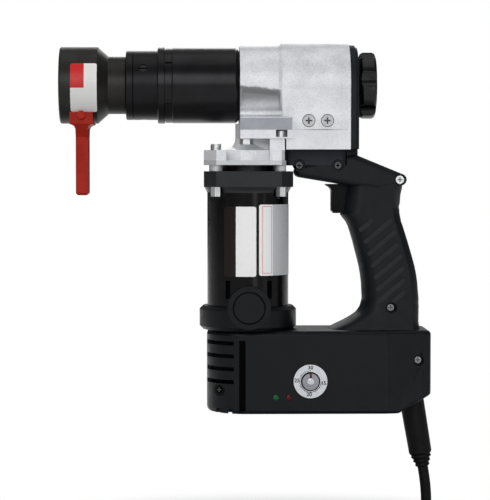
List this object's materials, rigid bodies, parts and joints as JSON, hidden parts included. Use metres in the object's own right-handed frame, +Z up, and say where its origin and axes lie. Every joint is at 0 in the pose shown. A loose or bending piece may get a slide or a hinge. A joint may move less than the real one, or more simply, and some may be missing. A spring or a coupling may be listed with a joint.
{
  "type": "electric nutrunner",
  "caption": "Corded electric nutrunner with a square drive in a reaction hub, a swivelling reaction arm, a planetary barrel, an upright motor, a looped grip and a box with a torque dial.",
  "frame": {"origin": "centre of the square drive, on its front face", "axes": "+Z up against the motor axis, -X out of the nose along the output axis, +X back to the selector knob, -Y the side with the torque dial"},
  "size_m": [0.34, 0.1588, 0.437],
  "materials": {
    "black_steel": "black oxide, satin",
    "red_paint": "red enamel, semi-gloss",
    "bright_steel": "ground",
    "zinc": "zinc plated",
    "cast_alloy": "shot-blasted casting",
    "black_plastic": "fine moulded grain",
    "black_gloss": "gloss black",
    "copper": "wound copper and steel",
    "lamination": "steel laminations",
    "carbon": "carbon block",
    "spring": "spring wire",
    "board": "circuit board",
    "scale": "silver scale plate",
    "grey_plastic": "grey knob",
    "green_lens": "green lens",
    "red_lens": "red lens",
    "rubber": "black rubber"
  },
  "bodies": {
    "tool_body": {"lock_screws": "black_steel", "front_collar": "black_steel", "ring_nut": "black_steel", "gear_barrel": "black_steel", "ring_gear": "bright_steel", "gear_bearings": "bright_steel", "gear_case": "cast_alloy", "pinion_housing": "cast_alloy", "case_screws": "zinc", "case_bolts": "zinc", "rear_cover": "black_plastic", "selector_switch": "black_plastic", "motor_spacer": "cast_alloy", "motor_housing": "black_gloss", "motor_bolts": "zinc", "field_stator": "lamination", "motor_bearings": "bright_steel", "end_bell": "black_plastic", "carbon_brushes": "carbon", "brush_springs": "spring", "brush_caps": "black_plastic", "isolator_block": "rubber", "handle_left": "black_plastic", "handle_right": "black_plastic", "shell_screws": "zinc", "clamp_screws": "zinc", "trigger_switch": "black_plastic", "trigger_spring": "spring", "box_left": "black_plastic", "box_right": "black_plastic", "control_board": "board", "potentiometer": "black_plastic", "dial_plate": "scale", "green_led": "green_lens", "red_led": "red_lens", "cord_guard": "rubber", "power_cord": "rubber", "cord_coil": "rubber", "cord_tie": "rubber", "power_plug": "black_plastic"},
    "reaction_head": {"reaction_ring": "black_steel", "reaction_hub": "black_steel", "reaction_arm": "red_paint", "arm_bolts": "red_paint"},
    "output": {"output_spindle": "bright_steel"},
    "first_stage": {"first_carrier": "bright_steel"},
    "input": {"input_shaft": "bright_steel", "bevel_gear": "bright_steel"},
    "rotor": {"armature": "copper", "bevel_pinion": "bright_steel", "cooling_fan": "grey_plastic"},
    "trigger_lever": {"trigger": "black_plastic"},
    "selector": {"selector_knob": "black_plastic"},
    "torque_dial": {"dial_knob": "grey_plastic"},
    "final_pinion_1": {"final_planet_1": "bright_steel"},
    "first_pinion_1": {"first_planet_1": "bright_steel"},
    "final_pinion_2": {"final_planet_2": "bright_steel"},
    "first_pinion_2": {"first_planet_2": "bright_steel"},
    "final_pinion_3": {"final_planet_3": "bright_steel"},
    "first_pinion_3": {"first_planet_3": "bright_steel"}
  },
  "joints": [
    {"name": "motor_spin", "type": "hinge", "parent": "tool_body", "child": "rotor", "pos_m": [0.1524, 0, -0.1], "axis": [0, 0, 1], "continuous": true},
    {"name": "input_spin", "type": "hinge", "parent": "tool_body", "child": "input", "pos_m": [0.1524, 0, 0], "axis": [1, 0, 0], "continuous": true},
    {"name": "first_stage_spin", "type": "hinge", "parent": "tool_body", "child": "first_stage", "pos_m": [0.12, 0, 0], "axis": [1, 0, 0], "continuous": true},
    {"name": "output_spin", "type": "hinge", "parent": "tool_body", "child": "output", "pos_m": [0.05, 0, 0], "axis": [1, 0, 0], "continuous": true},
    {"name": "first_planet_spin_1", "type": "hinge", "parent": "first_stage", "child": "first_pinion_1", "pos_m": [0.127, 0, -0.0144], "axis": [1, 0, 0], "continuous": true},
    {"name": "final_planet_spin_1", "type": "hinge", "parent": "output", "child": "final_pinion_1", "pos_m": [0.1065, 0, -0.0144], "axis": [1, 0, 0], "continuous": true},
    {"name": "first_planet_spin_2", "type": "hinge", "parent": "first_stage", "child": "first_pinion_2", "pos_m": [0.127, 0.01247, 0.0072], "axis": [1, 0, 0], "continuous": true},
    {"name": "final_planet_spin_2", "type": "hinge", "parent": "output", "child": "final_pinion_2", "pos_m": [0.1065, 0.01247, 0.0072], "axis": [1, 0, 0], "continuous": true},
    {"name": "first_planet_spin_3", "type": "hinge", "parent": "first_stage", "child": "first_pinion_3", "pos_m": [0.127, -0.01247, 0.0072], "axis": [1, 0, 0], "continuous": true},
    {"name": "final_planet_spin_3", "type": "hinge", "parent": "output", "child": "final_pinion_3", "pos_m": [0.1065, -0.01247, 0.0072], "axis": [1, 0, 0], "continuous": true},
    {"name": "reaction_swivel", "type": "hinge", "parent": "tool_body", "child": "reaction_head", "pos_m": [0.01, 0, 0], "axis": [1, 0, 0], "continuous": true},
    {"name": "trigger_pull", "type": "slide", "parent": "tool_body", "child": "trigger_lever", "axis": [1, 0, 0], "range_m": [0, 0.006], "stiffness_N_per_m": 900, "springref_m": -0.004, "deforming": ["trigger_spring"]},
    {"name": "selector_turn", "type": "hinge", "parent": "tool_body", "child": "selector", "pos_m": [0.2466, 0, 0], "axis": [1, 0, 0], "range_deg": [0, 90]},
    {"name": "dial_turn", "type": "hinge", "parent": "tool_body", "child": "torque_dial", "pos_m": [0.2038, -0.036, -0.2479], "axis": [0, -1, 0], "range_deg": [0, 265]}
  ],
  "couplings": [
    {"joint": "input_spin", "follows": "motor_spin", "ratio": 0.25},
    {"joint": "first_stage_spin", "follows": "motor_spin", "ratio": 0.041667},
    {"joint": "output_spin", "follows": "motor_spin", "ratio": 0.0069444},
    {"joint": "first_planet_spin_1", "follows": "motor_spin", "ratio": -0.10417},
    {"joint": "final_planet_spin_1", "follows": "motor_spin", "ratio": -0.017361},
    {"joint": "first_planet_spin_2", "follows": "motor_spin", "ratio": -0.10417},
    {"joint": "final_planet_spin_2", "follows": "motor_spin", "ratio": -0.017361},
    {"joint": "first_planet_spin_3", "follows": "motor_spin", "ratio": -0.10417},
    {"joint": "final_planet_spin_3", "follows": "motor_spin", "ratio": -0.017361}
  ]
}
